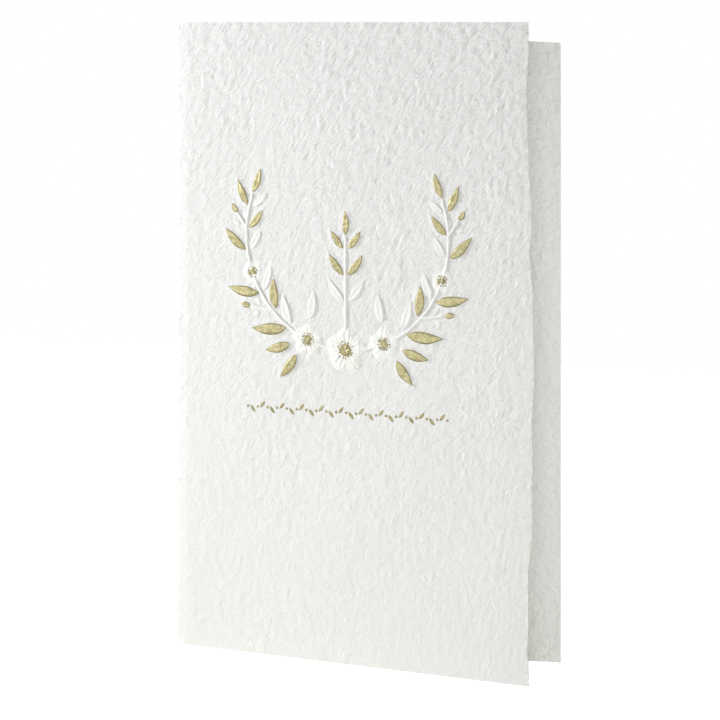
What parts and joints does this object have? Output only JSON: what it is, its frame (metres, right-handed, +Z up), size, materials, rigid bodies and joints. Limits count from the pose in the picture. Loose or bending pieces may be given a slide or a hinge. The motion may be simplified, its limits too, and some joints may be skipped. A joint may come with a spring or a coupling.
{
  "type": "greeting card",
  "caption": "Folded greeting card in thick handmade paper, standing half open, with a torn front edge and a pressed laurel crescent picked out in gold foil.",
  "frame": {"origin": "centre of the bounding box at the height of the bottom edge, on which the card stands", "axes": "+Z up, -Y towards the viewer of the front, +X to the right seen from the front. The back panel is square to Y, and the front panel swings from the fold at -X towards -Y"},
  "size_m": [0.114, 0.0542, 0.184],
  "materials": {
    "paper": "matt handmade cotton paper with a rough felt texture",
    "foil": "pale gold foil with a fine grain, satin"
  },
  "bodies": {
    "root": {"folded_sheet": "paper", "foil_leaves": "foil", "foil_dots": "foil", "foil_rule": "foil"}
  },
  "joints": []
}
